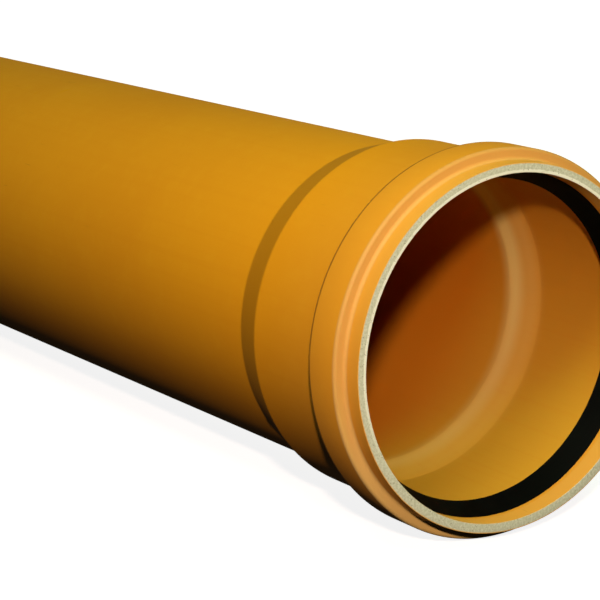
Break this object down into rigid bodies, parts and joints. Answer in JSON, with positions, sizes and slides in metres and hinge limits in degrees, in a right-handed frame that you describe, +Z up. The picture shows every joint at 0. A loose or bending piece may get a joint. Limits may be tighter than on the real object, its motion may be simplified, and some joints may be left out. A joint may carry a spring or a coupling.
{
  "type": "pvc drain pipe",
  "caption": "Orange plastic drain pipe with a belled push-fit socket, a bead over its seal groove, a rubber lip seal and a chamfered spigot end.",
  "frame": {"origin": "middle of the bounding box, on the floor that the pipe lies on", "axes": "+X along the pipe towards the socket's mouth, +Z up; the axis rises 0.57 degrees towards the mouth because the bead is wider than the spigot"},
  "size_m": [1.0786, 0.1806, 0.1808],
  "materials": {
    "pvc_orange": "smooth orange-brown PVC with a soft sheen; the sawn faces show a pale grey core between orange skins",
    "seal_rubber": "smooth black rubber"
  },
  "bodies": {
    "root": {"pipe": "pvc_orange", "sealing_ring": "seal_rubber"}
  },
  "joints": []
}
